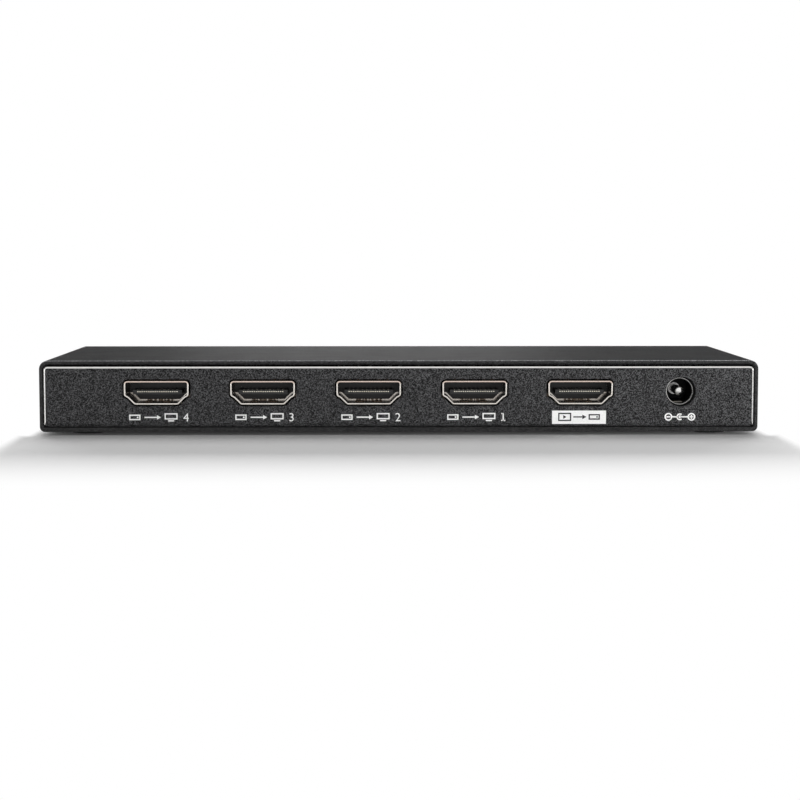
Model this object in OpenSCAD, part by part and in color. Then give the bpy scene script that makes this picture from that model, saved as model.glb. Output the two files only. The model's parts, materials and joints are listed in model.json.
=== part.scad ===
// Video splitter: one input, four outputs, in a slim sleeve case.
// X runs along the socket row, the rear panel faces -Y, and Z = 0 is the surface it stands on.

/* [Case sleeve] */
// Outside width of the sleeve
body_w = 165; // [158:0.5:190]
// Depth over the rear and front panels
body_d = 60; // [56:0.5:90]
// Outside height of the sleeve, without the feet
body_h = 16.4; // [16:0.1:24]
// Wall of the extruded sleeve
sleeve_wall = 1; // [0.8:0.05:1.2]
// Width of the slope along the sides and top inside the sleeve's two rims
rim_slope = 0.35; // [0.2:0.05:0.4]
// Inside radius of the two upper corners
upper_inner_r = 1; // [0.8:0.05:1.4]
// Inside radius of the two lower corners
lower_inner_r = 0.2; // [0.2:0.1:0.6]

/* [Chassis tray] */
// Sheet thickness of the folded tray
tray_t = 1; // [0.8:0.1:1.2]
// Inside radius of the two folds
bend_r = 0.5; // [0.4:0.1:1]
// Radius of the panels' lower corners
panel_low_r = 1; // [0.8:0.1:1.6]
// Gap between a panel's side edge and the sleeve
side_gap = 0.1; // [0.1:0.05:0.3]
// Gap between a panel's top edge and the sleeve
top_gap = 0.4; // [0.1:0.05:0.6]
// Width of the bare bevel on the panel edges
edge_bevel = 0.35; // [0.2:0.05:0.4]
// How far the panels stand out of the sleeve
panel_proud = 0.4; // [0.2:0.1:0.6]

/* [Feet] */
// Height of the stick-on feet
foot_h = 0.8; // [0.8:0.1:2]
// Radius of a foot
foot_r = 4; // [3:0.5:6]
// Foot centre from the side of the sleeve
foot_side = 10; // [8:0.5:14]
// Foot centre from the rear or front panel
foot_end = 9; // [7:0.5:12]

/* [Case screws] */
// Shank radius of a case screw
case_screw_r = 1.25; // [1:0.05:1.5]
// Head radius of a case screw
case_head_r = 2.3; // [2:0.1:2.8]
// Head height of a case screw, less than the feet
case_head_h = 0.5; // [0.4:0.05:0.6]
// Height of a clinch nut above the tray floor
nut_h = 1.2; // [1:0.1:1.5]
// Radius of a clinch nut
nut_r = 2.2; // [2.1:0.1:2.8]
// Case screw from the side of the sleeve
case_screw_side = 24.5; // [22:0.5:28]
// Case screw from the rear or front panel
case_screw_end = 15; // [14.5:0.5:18]

/* [Circuit board] */
// Height of the standoffs under the board
standoff_h = 2; // [1.9:0.05:3]
// Radius of a standoff
standoff_r = 2.4; // [2.1:0.1:2.8]
// Board thickness
board_t = 1.6; // [1.2:0.2:2]
// Gap from the board's sides to the sleeve
board_side_gap = 2; // [1:0.5:3]
// Gap from the board's ends to the panels
board_end_gap = 1.6; // [1:0.1:1.8]
// Corner radius of the board
board_corner_r = 1.5; // [0.5:0.5:3]
// Board screw from the board's side and end
board_screw_inset = 4.5; // [4:0.5:6]
// Shank radius of a board screw
board_screw_r = 1.2; // [1:0.05:1.4]
// Head radius of a board screw
board_head_r = 2.2; // [2:0.1:2.4]
// Head height of a board screw
board_head_h = 1.4; // [1:0.1:2]

/* [Video sockets] */
// Spacing of the sockets
socket_pitch = 24.3; // [20:0.1:25]
// Centre of the middle socket from the middle of the case
socket_row_x = -7.05; // [-9:0.05:-5]
// Opening width
open_w = 14; // [13.8:0.1:14.4]
// Opening height
open_h = 4.64; // [4.5:0.02:4.8]
// Height of the opening's upright sides
side_h = 2.8; // [2.5:0.05:3]
// How far the side steps in below its upright part
step_in = 0.7; // [0.5:0.05:0.9]
// How far the step drops
step_drop = 0.35; // [0.25:0.05:0.5]
// Width of the opening's floor
floor_w = 9.6; // [9.2:0.1:10]
// Sheet thickness of the shell
shell_t = 0.35; // [0.25:0.05:0.4]
// How far the mouth flares outwards
lip_flare = 0.05; // [0.05:0.05:0.2]
// Depth of the flared mouth
lip_d = 0.9; // [0.6:0.1:1.2]
// Length of the shell
shell_len = 11.6; // [11.2:0.1:13]
// How far the mouth stands out of the rear panel
socket_proud = 0.4; // [0.2:0.1:0.8]
// Height of the shell's underside above the board
socket_lift = 0.77; // [0.5:0.01:1.2]
// Gap between a shell and its cut-out in the panel
socket_gap = 0.35; // [0.2:0.05:0.5]
// Depth from the mouth to the insulator block
cavity_d = 8.6; // [8:0.1:9.2]
// Depth from the mouth to the tip of the tongue
tongue_recess = 2.5; // [2.4:0.1:3]
// Width of the tongue
tongue_w = 11.2; // [10.6:0.1:12]
// Thickness of the tongue
tongue_t = 1; // [0.8:0.05:1.2]
// Spacing of the contacts within one face of the tongue
contact_pitch = 1; // [0.9:0.05:1.1]
// Width of a contact
contact_w = 0.28; // [0.2:0.02:0.34]
// Thickness of a contact
contact_t = 0.15; // [0.1:0.01:0.2]
// Width of a solder leg of the shell
leg_w = 1.2; // [0.8:0.1:1.6]

/* [Power jack] */
// Jack axis from the right side of the sleeve
jack_side = 17.87; // [16:0.01:20]
// Height of the jack axis above the board
jack_axis_h = 3.6; // [3.5:0.05:4.2]
// Bore radius of the jack
jack_bore_r = 3; // [2.95:0.05:3.2]
// Radius of the hole in the rear panel
jack_hole_r = 3.45; // [3.35:0.05:3.8]
// Gap from the rear panel to the jack's front face
jack_setback = 1; // [0.4:0.1:1.2]
// Depth of the jack's bore
jack_bore_d = 9.6; // [9.2:0.1:10]
// Length of the jack body
jack_len = 13.4; // [13.2:0.1:15]
// Width of the jack body
jack_w = 9; // [8.6:0.1:9.6]
// Wall of the jack's barrel
jack_wall = 0.7; // [0.6:0.1:0.9]
// Radius of the centre pin
pin_r = 1.05; // [0.95:0.05:1.25]
// Width of the leaf contact
leaf_w = 2.2; // [1.8:0.1:2.4]
// Thickness of the leaf contact
leaf_t = 0.25; // [0.2:0.05:0.3]
// Crest of the leaf contact above the board
leaf_crest = 1.25; // [1.1:0.05:1.35]

/* [Indicators] */
// Spacing of the status lamps
lamp_pitch = 9; // [6:0.5:10]
// Middle of the lamp row from the middle of the case
lamp_row_x = 40; // [-35:1:40]
// Radius of a light pipe
pipe_r = 1; // [0.7:0.05:1.3]
// How far a light pipe stands out of the front panel
pipe_proud = 0.4; // [0.2:0.1:0.8]
// Height of the light pipes above the board
pipe_axis_h = 2; // [1.8:0.1:3]

/* [Heatsink] */
// Side of the heatsink's square base
sink_side = 16; // [14:0.5:20]
// Height of the heatsink
sink_h = 5.6; // [4:0.2:6]
// Number of fins
sink_fins = 7; // [4:1:9]
// Thickness of a fin
fin_t = 0.9; // [0.6:0.1:1.2]

/* [Hidden] */
$fn = 48;
eps = 0.01;
slip = 0.03;
arc_steps = 5;
port_names = ["output_4", "output_3", "output_2", "output_1", "input"];
node_kinds = ["shell", "insulator", "contacts"];

// Levels from the standing surface upwards
floor_z = foot_h + sleeve_wall;
tray_z = floor_z + tray_t;
board_z = tray_z + standoff_h;
top_z = board_z + board_t;

// Length and inside of the sleeve, and the tray that slides into it
sleeve_d = body_d - 2 * panel_proud;
inner_w = body_w - 2 * sleeve_wall;
inner_h = body_h - 2 * sleeve_wall;
panel_w = inner_w - 2 * side_gap;
panel_h = inner_h - top_gap;
panel_corner_r = upper_inner_r - side_gap;
least_corner_r = 0.1;
bevel = min(edge_bevel, panel_corner_r - least_corner_r);

// Screws and clinch nuts
screw_hole_gap = 0.2;
screw_end = 0.2;
head_chamfer = 0.15;
recess_depth = 0.65;
recess_reach = 0.6;
recess_slot = 0.24;
nut_collar_step = 0.3;
nut_collar_r = nut_r - nut_collar_step;

// Board outline and its screw places
board_w = inner_w - 2 * board_side_gap;
board_d = body_d - 2 * (tray_t + board_end_gap);
board_spots = corner_spots(board_w / 2 - board_screw_inset, board_d / 2 - board_screw_inset);
case_spots = corner_spots(body_w / 2 - case_screw_side, body_d / 2 - case_screw_end);
foot_spots = corner_spots(body_w / 2 - foot_side, body_d / 2 - foot_end);

// Video sockets: the places, the mouth and the outline of the opening, top edge at z = 0
ports = [for (i = [0:4]) socket_row_x + (i - 2) * socket_pitch];
mouth_y = -body_d / 2 - socket_proud;
shell_wall = shell_t + lip_flare;
open_top_z = top_z + socket_lift + shell_t + open_h;
tongue_z = open_top_z - open_h / 2;
half_outline = [
    [open_w / 2, 0],
    [open_w / 2, -side_h],
    [open_w / 2 - step_in, -side_h - step_drop],
    [floor_w / 2, -open_h]
];
upper_corner_r = 0.4;
side_corner_r = 0.3;
waist_corner_r = 0.4;
floor_corner_r = 0.35;
least_arc_r = 0.08;
half_radii = [upper_corner_r, side_corner_r, waist_corner_r, floor_corner_r];
half_follows = [true, true, false, true];
outline_points = concat(half_outline, [for (i = [3:-1:0]) [-half_outline[i].x, half_outline[i].y]]);
outline_radii = concat(half_radii, [for (i = [3:-1:0]) half_radii[i]]);
outline_follows = concat(half_follows, [for (i = [3:-1:0]) half_follows[i]]);
contact_proud = 0.02;
groove_d = contact_t - contact_proud;
contact_setback = 0.25;
contact_tip = tongue_recess + contact_setback;
nose_proud = 0.04;
nose_lift = 0.1;
nose_z = tongue_z + nose_lift;
nose_t = 0.18;
nose_link = 0.2;
block_tail = 0.6;
block_back = shell_len + block_tail;
tail_d = 0.35;
tail_foot = 0.9;
top_contacts = 10;
finger_w = 1.6;
finger_slot = 0.3;
finger_tip = 3;
finger_bump = 3.9;
finger_root = 7.2;
finger_dip = 0.3;
finger_lap = 0.2;
finger_top_x = 3.4;
finger_floor_x = 2.1;
stop_len = 0.6;
stop_step = 0.25;
leg_fit = 0.2;
leg_front = 4.9;
leg_rear = 10.2;
leg_places = [leg_front, leg_rear];
leg_reach = 0.6;

// Power jack: axis, front face, leaf and terminals
jack_x = body_w / 2 - jack_side;
jack_z = top_z + jack_axis_h;
jack_y = -body_d / 2 + tray_t + jack_setback;
jack_barrel_r = jack_bore_r + jack_wall;
ring_seat = 0.08;
ring_r = jack_bore_r + ring_seat;
ring_t = 0.14;
ring_d = 0.8;
ring_chamfer = 0.05;
jack_flange_t = 1.2;
jack_back_t = 1.6;
pin_tip = 0.25;
pin_nose = 0.7;
boss_wall = 0.36;
boss_r = pin_r + boss_wall;
boss_d = 1;
boss_front = jack_bore_d - boss_d;
pin_neck_step = 0.26;
pin_neck_r = pin_r - pin_neck_step;
rivet_step = 0.4;
rivet_h = 0.7;
terminal_t = 0.3;
terminal_w = 2.6;
terminal_rise = 1.6;
hinge_d = 11;
hinge_h = 0.42;
leaf_side_gap = 0.2;
leaf_slot_w = leaf_w + 2 * leaf_side_gap;
leaf_slot_start = 2.6;
leaf_slot_tail = 0.6;
leaf_slot_end = hinge_d + leaf_slot_tail;
leaf_slot_room = 0.6;
leaf_end_gap = 0.1;
leaf_tip_d = 3.2;
leaf_tip_drop = 0.4;
leaf_crest_d = 4.4;
leaf_rise_d = 6.4;
leaf_rise = 0.2;
leaf_tail_inset = 0.9;
leaf_tail_d = jack_len - leaf_tail_inset;

// Status lamps and the light pipe behind the front panel
lamp_count = 6;
lamps = [for (i = [0:lamp_count - 1]) lamp_row_x + (i - (lamp_count - 1) / 2) * lamp_pitch];
board_front = board_d / 2;
pipe_front = body_d / 2 + pipe_proud;
pipe_fit = 0.1;
pipe_bar_d = 1.6;
pipe_bar_inset = 2.2;
pipe_bar_y = board_front - pipe_bar_inset;
pipe_bar_end = 1;
pipe_bar_cover = 0.5;
pipe_chamfer = 0.2;
lamp_gap = 0.1;
lamp_size = [1.6, 0.8, 1];

// Parts on the board, as places from its middle and sizes
chip_place = [-7, 3];
chip_size = [14, 14, 1.1];
pad_t = 0.3;
sink_base = 1.4;
memory_place = [22, 4];
memory_size = [5.2, 4, 1.7];
regulator_place = [44, -6];
regulator_size = [4.9, 3.9, 1.5];
chip_lift = 0.15;
lead_pitch = 1.27;
lead_count = 4;
lead_size = [0.4, 0.6, 0.2];
lead_shank = 0.3;
lead_lap = 0.05;
crystal_place = [-24, 3];
crystal_base = [3.2, 2.5, 0.4];
crystal_lid = [2.7, 2, 0.5];
inductor_place = [52, 2];
inductor_base = [6, 6, 0.8];
inductor_r = 2.8;
inductor_h = 2.2;
capacitor_places = [[62, -4], [62, 6]];
capacitor_base = [5.3, 5.3, 0.7];
capacitor_r = 2.5;
capacitor_h = 5.2;
filter_size = [2, 1.25, 1];
filter_pitch = 6;
filter_starts = [[-50, -8], [4, -9]];
filter_counts = [4, 6];
filter_places = [for (i = [0, 1]) each row_from(filter_starts[i], filter_counts[i])];
surge_size = [2.5, 1, 0.55];
surge_offset = 4;
surge_x = 2.2;

function corner_spots(x, y) = [[-x, -y], [x, -y], [-x, y], [x, y]];
function row_from(place, count) = [for (i = [0:count - 1]) place + [i * filter_pitch, 0]];
function unit(v) = v / norm(v);
function turn(a) = a > 180 ? a - 360 : a < -180 ? a + 360 : a;
function outward(a, b) = let (d = unit(b - a)) [-d.y, d.x];
function before(pts, i) = pts[(i + len(pts) - 1) % len(pts)];
function after(pts, i) = pts[(i + 1) % len(pts)];

// An outline moved outwards by g, corner by corner
function grown(pts, g) = [
    for (i = [0:len(pts) - 1])
        let (m = outward(before(pts, i), pts[i]), n = outward(pts[i], after(pts, i)))
        pts[i] + (m + n) * g / (1 + m * n)
];

// The arc that rounds corner p between its neighbours a and b
function corner_arc(a, p, b, r) =
    let (u = unit(a - p), v = unit(b - p), half = acos(u * v) / 2)
    let (c = p + unit(u + v) * r / sin(half))
    let (s = p + u * r / tan(half) - c, e = p + v * r / tan(half) - c)
    let (from = atan2(s.y, s.x), sweep = turn(atan2(e.y, e.x) - from))
    [for (i = [0:arc_steps]) c + r * [cos(from + sweep * i / arc_steps), sin(from + sweep * i / arc_steps)]];

function rounded(pts, radii) = [
    for (i = [0:len(pts) - 1]) each corner_arc(before(pts, i), pts[i], after(pts, i), radii[i])
];

// The socket opening, grown by g all round
function opening(g) = rounded(
    grown(outline_points, g),
    [for (i = [0:len(outline_radii) - 1]) max(least_arc_r, outline_radii[i] + (outline_follows[i] ? g : 0))]
);

function ring(g, y) = [for (p = opening(g)) [p.x, y, p.y]];

// Extrudes a flat (x, z) shape from y0 to y1, and a flat (y, z) shape from x0 to x1
module along_y(y0, y1) { translate([0, y1, 0]) rotate([90, 0, 0]) linear_extrude(y1 - y0) children(); }
module along_x(x0, x1) { translate([x0, 0, 0]) rotate([90, 0, 90]) linear_extrude(x1 - x0) children(); }

// Rectangle standing on y = 0, with its lower and upper corners rounded
module round_rect(w, h, low_r, up_r) {
    translate([-w / 2 + low_r, 0]) square([w - 2 * low_r, h / 2]);
    translate([-w / 2, low_r]) square([w, h - low_r - up_r]);
    translate([-w / 2 + up_r, h / 2]) square([w - 2 * up_r, h / 2]);
    for (side = [-1, 1]) {
        translate([side * (w / 2 - low_r), low_r]) circle(low_r);
        if (up_r > 0) translate([side * (w / 2 - up_r), h - up_r]) circle(up_r);
    }
}

// Closed band of facets through four rings of points, each ring joined to the next
module ring_loft(rings) {
    n = len(rings[0]);
    m = len(rings);
    polyhedron(
        points = [for (r = rings) each r],
        faces = [for (j = [0:m - 1]) for (i = [0:n - 1])
            each let (k = (j + 1) % m, q = (i + 1) % n)
                [[j * n + i, k * n + q, k * n + i], [j * n + i, j * n + q, k * n + q]]]
    );
}

module block(place, size, z) {
    translate([place.x - size.x / 2, place.y - size.y / 2, z]) cube(size);
}

// Round cutter at place p, through a plate from z upwards
module drill(p, z, plate, r) {
    translate([p.x, p.y, z - eps]) cylinder(h = plate + 2 * eps, r = r);
}

// Flat (x, z) cutters through the tray's rear and front panels
module through_rear() { along_y(-body_d / 2 - eps, -body_d / 2 + tray_t + eps) children(); }
module through_front() { along_y(body_d / 2 - tray_t - eps, body_d / 2 + eps) children(); }

// Screw with its chamfered head on z = 0, its shank below and a cross recess in the head
module screw(head_r, head_h, shank_r, shank) {
    recess = [2 * head_r * recess_reach, head_r * recess_slot, head_h * recess_depth + eps];
    difference() {
        union() {
            rotate_extrude() polygon([
                [0, 0],
                [head_r, 0],
                [head_r, head_h - head_chamfer],
                [head_r - head_chamfer, head_h],
                [0, head_h]
            ]);
            translate([0, 0, -shank]) cylinder(h = shank + eps, r = shank_r);
        }
        for (a = [0, 90]) rotate(a) block([0, 0], recess, head_h + eps - recess.z);
    }
}

// Cuts a slope into the edge of an outline, w wide and h high from z = 0, on an end face at y = 0: along its
// sides, top and upper corners, inwards from a plate's outline (way = -1) or outwards from a hole's (way = 1)
module slope_cutter(w, h, r, width, way) {
    reach = width + eps;
    slope = [[-way * eps, reach], [way * reach, -eps], [-way * eps, -eps]];
    mid_x = w / 2 - r;
    mid_z = h - r;
    along_x(-mid_x, mid_x) translate([0, h]) polygon([for (p = slope) [p.y, p.x]]);
    for (side = [0, 1]) mirror([side, 0, 0]) {
        translate([w / 2, 0, -eps]) linear_extrude(mid_z + eps) polygon(slope);
        translate([mid_x, 0, mid_z]) rotate([-90, 0, 0]) rotate(-90) rotate_extrude(angle = 90)
            translate([r, 0]) polygon(slope);
    }
}

module case_sleeve() {
    color("#2b2b2d") difference() {
        along_y(-sleeve_d / 2, sleeve_d / 2) translate([0, foot_h]) difference() {
            round_rect(body_w, body_h, lower_inner_r + sleeve_wall, upper_inner_r + sleeve_wall);
            translate([0, sleeve_wall]) round_rect(inner_w, inner_h, lower_inner_r, upper_inner_r);
        }
        for (end = [0, 1]) mirror([0, end, 0]) translate([0, -sleeve_d / 2, foot_h + sleeve_wall])
            slope_cutter(inner_w, inner_h, upper_inner_r, rim_slope, 1);
        for (p = case_spots) drill(p, foot_h, sleeve_wall, case_screw_r + screw_hole_gap);
    }
}

module chassis_tray() {
    color("#303032") difference() {
        intersection() {
            along_x(-body_w / 2, body_w / 2) translate([0, floor_z]) difference() {
                round_rect(body_d, panel_h, bend_r + tray_t, 0);
                translate([0, tray_t]) round_rect(body_d - 2 * tray_t, panel_h, bend_r, 0);
            }
            along_y(-body_d / 2, body_d / 2)
                translate([0, floor_z]) round_rect(panel_w, panel_h, panel_low_r, panel_corner_r);
        }
        for (end = [0, 1]) mirror([0, end, 0]) translate([0, -body_d / 2, floor_z])
            slope_cutter(panel_w, panel_h, panel_corner_r, bevel, -1);
        for (x = ports)
            through_rear() translate([x, open_top_z]) polygon(opening(shell_wall + socket_gap));
        through_rear() translate([jack_x, jack_z]) circle(jack_hole_r);
        for (x = lamps)
            through_front() translate([x, top_z + pipe_axis_h]) circle(pipe_r + pipe_fit);
        for (p = case_spots) drill(p, floor_z, tray_t, nut_collar_r + slip);
    }
}

module rubber_feet() {
    round_edge = foot_h / 4;
    color("#1c1c1c") for (p = foot_spots) translate([p.x, p.y, 0]) rotate_extrude()
        polygon([[0, 0], [foot_r - round_edge, 0], [foot_r, round_edge], [foot_r, foot_h], [0, foot_h]]);
}

module case_screws() {
    shank = sleeve_wall + tray_t + nut_h + screw_end;
    color("#3a3a3c") for (p = case_spots) translate([p.x, p.y, foot_h]) mirror([0, 0, 1])
        screw(case_head_r, case_head_h, case_screw_r, shank);
}

module clinch_nuts() {
    color("#b9b9b4") for (p = case_spots) translate([p.x, p.y, floor_z]) difference() {
        union() {
            cylinder(h = tray_t + eps, r = nut_collar_r);
            translate([0, 0, tray_t]) cylinder(h = nut_h, r = nut_r);
        }
        drill([0, 0], 0, tray_t + nut_h, case_screw_r + slip);
    }
}

module board_standoffs() {
    color("#c0c0ba") for (p = board_spots) translate([p.x, p.y, tray_z]) difference() {
        cylinder(h = standoff_h, r = standoff_r);
        drill([0, 0], 0, standoff_h, board_screw_r + slip);
    }
}

module board_screws() {
    shank = board_t + standoff_h - screw_end;
    color("#c8c8c4") for (p = board_spots) translate([p.x, p.y, top_z])
        screw(board_head_r, board_head_h, board_screw_r, shank);
}

module circuit_board() {
    leg_slot = [shell_t + 2 * leg_fit, leg_w + 2 * leg_fit, board_t + 2 * eps];
    jack_slot = [terminal_w + 2 * leg_fit, terminal_t + 2 * leg_fit, board_t + 2 * eps];
    color("#1f5a38") difference() {
        translate([0, -board_d / 2, board_z]) linear_extrude(board_t)
            round_rect(board_w, board_d, board_corner_r, board_corner_r);
        for (p = board_spots) drill(p, board_z, board_t, board_screw_r + screw_hole_gap);
        for (x = ports) for (side = [-1, 1]) for (d = leg_places)
            block([x + side * (open_w + shell_t) / 2, mouth_y + d], leg_slot, board_z - eps);
        for (d = [jack_len + terminal_t / 2, leaf_tail_d])
            block([jack_x, jack_y + d], jack_slot, board_z - eps);
    }
}

// A sprung finger cut from a flat wall: d is the depth from the mouth, bent inwards by finger_dip
module finger_strip() {
    along_x(-finger_w / 2, finger_w / 2) polygon([
        [finger_root, 0],
        [finger_bump, -finger_dip],
        [finger_tip, -finger_dip / 3],
        [finger_tip, shell_t - finger_dip / 3],
        [finger_bump, shell_t - finger_dip],
        [finger_root, shell_t],
        [finger_root + finger_lap, shell_t],
        [finger_root + finger_lap, 0]
    ]);
}

module finger_window() {
    size = [finger_w + 2 * finger_slot, finger_root - finger_tip + finger_slot];
    translate([-size.x / 2, finger_tip - finger_slot, -eps]) cube([size.x, size.y, shell_t + 2 * eps]);
}

// The four places where the shell's roof and floor carry a finger
module each_finger() {
    for (side = [-1, 1]) {
        translate([side * finger_top_x, 0, 0]) children();
        translate([side * finger_floor_x, 0, -open_h]) mirror([0, 0, 1]) children();
    }
}

module socket_shell(i) {
    leg_top = -side_h / 2;
    leg_end = board_z - leg_reach - open_top_z;
    color("#d6cabd") translate([ports[i], mouth_y, open_top_z]) {
        difference() {
            along_y(lip_d, shell_len) difference() {
                polygon(opening(shell_t));
                polygon(opening(0));
            }
            each_finger() finger_window();
        }
        ring_loft([ring(shell_t, lip_d), ring(shell_wall, 0), ring(lip_flare, 0), ring(0, lip_d)]);
        each_finger() finger_strip();
        along_y(cavity_d - stop_len, cavity_d - slip) difference() {
            polygon(opening(eps));
            polygon(opening(-stop_step));
            translate([-open_w, -side_h]) square([2 * open_w, open_h]);
        }
        for (side = [0, 1]) mirror([side, 0, 0]) for (d = leg_places)
            translate([open_w / 2, d - leg_w / 2, leg_end]) cube([shell_t, leg_w, leg_top - leg_end]);
    }
}

// Level of a contact's seat on the tongue's upper (1) or lower (-1) side
function seat_z(face) = tongue_z + face * (tongue_t / 2 - groove_d);

// The contact's front end as (d, z) points, hooked through the tongue so that its nose shows in front
function contact_hook(face) =
    let (front = tongue_recess - nose_proud, link_end = contact_tip + nose_link)
    let (near = nose_z - face * nose_t / 2, far = nose_z + face * nose_t / 2)
    [
        [link_end, seat_z(face)],
        [link_end, near],
        [front, near],
        [front, far],
        [contact_tip, far],
        [contact_tip, seat_z(face) + face * contact_t]
    ];

// One contact's (d, z) profile: along the tongue, out of the block, down to a foot on the board
function contact_profile(face) =
    let (hook = contact_hook(face), last = len(hook) - 1)
    let (low = min(hook[0].y, hook[last].y), high = max(hook[0].y, hook[last].y))
    let (back = block_back + tail_d, foot_top = top_z + contact_t)
    [
        each face > 0 ? hook : [for (i = [last:-1:0]) hook[i]],
        [back + contact_t, high],
        [back + contact_t, foot_top],
        [back + contact_t + tail_foot, foot_top],
        [back + contact_t + tail_foot, top_z],
        [back, top_z],
        [back, low]
    ];

// Runs its children at each contact's place, with $face 1 on the tongue's upper side and -1 below
module each_contact() {
    for ($face = [1, -1]) {
        count = $face > 0 ? top_contacts : top_contacts - 1;
        for (n = [0:count - 1]) translate([(n - (count - 1) / 2) * contact_pitch, 0, 0]) children();
    }
}

module contact_groove() {
    seat = seat_z($face);
    half = contact_w / 2 + slip;
    far = seat + $face * (contact_t + slip);
    translate([-half, contact_tip - slip, min(seat, far)])
        cube([2 * half, block_back - contact_tip + 2 * slip, contact_t + slip]);
    translate([-half, contact_tip - slip, min(seat, nose_z) - slip])
        cube([2 * half, nose_link + 2 * slip, abs(seat - nose_z) + 2 * slip]);
    translate([-half, tongue_recess - eps, nose_z - nose_t / 2 - slip])
        cube([2 * half, contact_setback + nose_link + slip + eps, nose_t + 2 * slip]);
}

module socket_insulator(i) {
    color("#1a1a1b") translate([ports[i], mouth_y, 0]) difference() {
        union() {
            along_y(cavity_d, block_back) translate([0, open_top_z]) polygon(opening(-slip));
            translate([-tongue_w / 2, tongue_recess, tongue_z - tongue_t / 2])
                cube([tongue_w, cavity_d - tongue_recess + eps, tongue_t]);
        }
        each_contact() contact_groove();
    }
}

module socket_contacts(i) {
    color("#d9b45a") translate([ports[i], mouth_y, 0])
        each_contact() along_x(-contact_w / 2, contact_w / 2) polygon(contact_profile($face));
}

// Frame of the power jack: d runs inwards from its front face along y, z from the board
module at_jack() { translate([jack_x, jack_y, top_z]) children(); }

module jack_body() {
    leaf_top = hinge_h + leaf_t / 2;
    color("#161617") at_jack() difference() {
        union() {
            difference() {
                union() {
                    translate([-jack_w / 2, 0, 0]) cube([jack_w, jack_len, jack_axis_h]);
                    along_y(0, jack_len - jack_back_t) translate([0, jack_axis_h]) circle(jack_barrel_r);
                    translate([-jack_w / 2, 0, 0]) cube([jack_w, jack_flange_t, jack_axis_h + jack_barrel_r]);
                }
                translate([-jack_w, -eps, -jack_barrel_r]) cube([2 * jack_w, jack_len, jack_barrel_r]);
                along_y(-eps, jack_bore_d) translate([0, jack_axis_h]) circle(jack_bore_r);
            }
            along_y(boss_front, jack_bore_d + eps) translate([0, jack_axis_h]) circle(boss_r);
        }
        along_y(-eps, ring_d + slip) translate([0, jack_axis_h]) circle(ring_r + slip);
        along_y(boss_front - eps, jack_len + eps) translate([0, jack_axis_h]) circle(pin_neck_r + slip);
        translate([-leaf_slot_w / 2, leaf_slot_start, -eps])
            cube([leaf_slot_w, leaf_slot_end - leaf_slot_start, leaf_top + leaf_slot_room]);
        translate([-leaf_slot_w / 2, hinge_d, -eps]) cube([leaf_slot_w, jack_len, leaf_top + eps]);
    }
}

module jack_ring() {
    inner_r = ring_r - ring_t;
    color("#d2d0cc") at_jack() translate([0, 0, jack_axis_h]) rotate([-90, 0, 0]) rotate_extrude() polygon([
        [inner_r, ring_chamfer],
        [inner_r + ring_chamfer, 0],
        [ring_r, 0],
        [ring_r, ring_d],
        [inner_r, ring_d]
    ]);
}

module jack_centre_pin() {
    rivet_r = pin_neck_r + rivet_step;
    rivet_seat = jack_len + terminal_t;
    profile = concat(
        [[0, rivet_seat + rivet_h], [rivet_r, rivet_seat + rivet_h], [rivet_r, rivet_seat]],
        [[pin_neck_r, rivet_seat], [pin_neck_r, boss_front], [pin_r, boss_front]],
        [for (a = [0:22.5:90]) [pin_r * cos(a), pin_tip + pin_nose * (1 - sin(a))]]
    );
    color("#cfcfcb") at_jack() translate([0, 0, jack_axis_h]) rotate([-90, 0, 0])
        rotate_extrude() polygon(profile);
}

module jack_pin_terminal() {
    low = -board_t - leg_reach;
    size = [terminal_w, terminal_t, jack_axis_h + terminal_rise - low];
    color("#c9c4b4") at_jack() difference() {
        block([0, jack_len + terminal_t / 2], size, low);
        along_y(jack_len - eps, jack_len + terminal_t + eps)
            translate([0, jack_axis_h]) circle(pin_neck_r + slip);
    }
}

// Bent strip of one thickness through (d, z) points, as a flat outline
function strip(pts, t) = concat(
    [for (p = pts) [p.x, p.y + t / 2]],
    [for (i = [len(pts) - 1:-1:0]) [pts[i].x, pts[i].y - t / 2]]
);

module jack_leaf() {
    spine = [
        [hinge_d, hinge_h],
        [leaf_rise_d, hinge_h + leaf_rise],
        [leaf_crest_d, leaf_crest],
        [leaf_tip_d, leaf_crest - leaf_tip_drop]
    ];
    color("#c9c4b4") at_jack() along_x(-leaf_w / 2, leaf_w / 2) {
        polygon(strip(spine, leaf_t));
        translate([hinge_d, hinge_h]) circle(leaf_t / 2);
    }
}

module jack_leaf_terminal() {
    start = hinge_d + leaf_t / 2 + leaf_end_gap;
    end = leaf_tail_d + terminal_t / 2;
    low = -board_t - leg_reach;
    color("#c9c4b4") at_jack() {
        translate([-leaf_w / 2, start, hinge_h - leaf_t / 2]) cube([leaf_w, end - start, leaf_t]);
        translate([-leaf_w / 2, end - terminal_t, low]) cube([leaf_w, terminal_t, hinge_h - low]);
    }
}

module light_pipe() {
    span = lamps[lamp_count - 1] - lamps[0] + 2 * (pipe_r + pipe_bar_end);
    color("#dfe6e8") {
        translate([lamp_row_x - span / 2, pipe_bar_y, top_z])
            cube([span, pipe_bar_d, pipe_axis_h + pipe_r + pipe_bar_cover]);
        for (x = lamps) translate([x, pipe_bar_y + pipe_bar_d - eps, top_z + pipe_axis_h]) rotate([-90, 0, 0])
            let (reach = pipe_front - pipe_bar_y - pipe_bar_d + eps) {
                cylinder(h = reach - pipe_chamfer, r = pipe_r);
                translate([0, 0, reach - pipe_chamfer])
                    cylinder(h = pipe_chamfer, r1 = pipe_r, r2 = pipe_r - pipe_chamfer);
            }
    }
}

module status_lamps() {
    color("#e8e2c8") for (x = lamps)
        block([x, pipe_bar_y - lamp_gap - lamp_size.y / 2], lamp_size, top_z);
}

module splitter_chip() {
    color("#222224") block(chip_place, chip_size, top_z);
}

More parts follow.
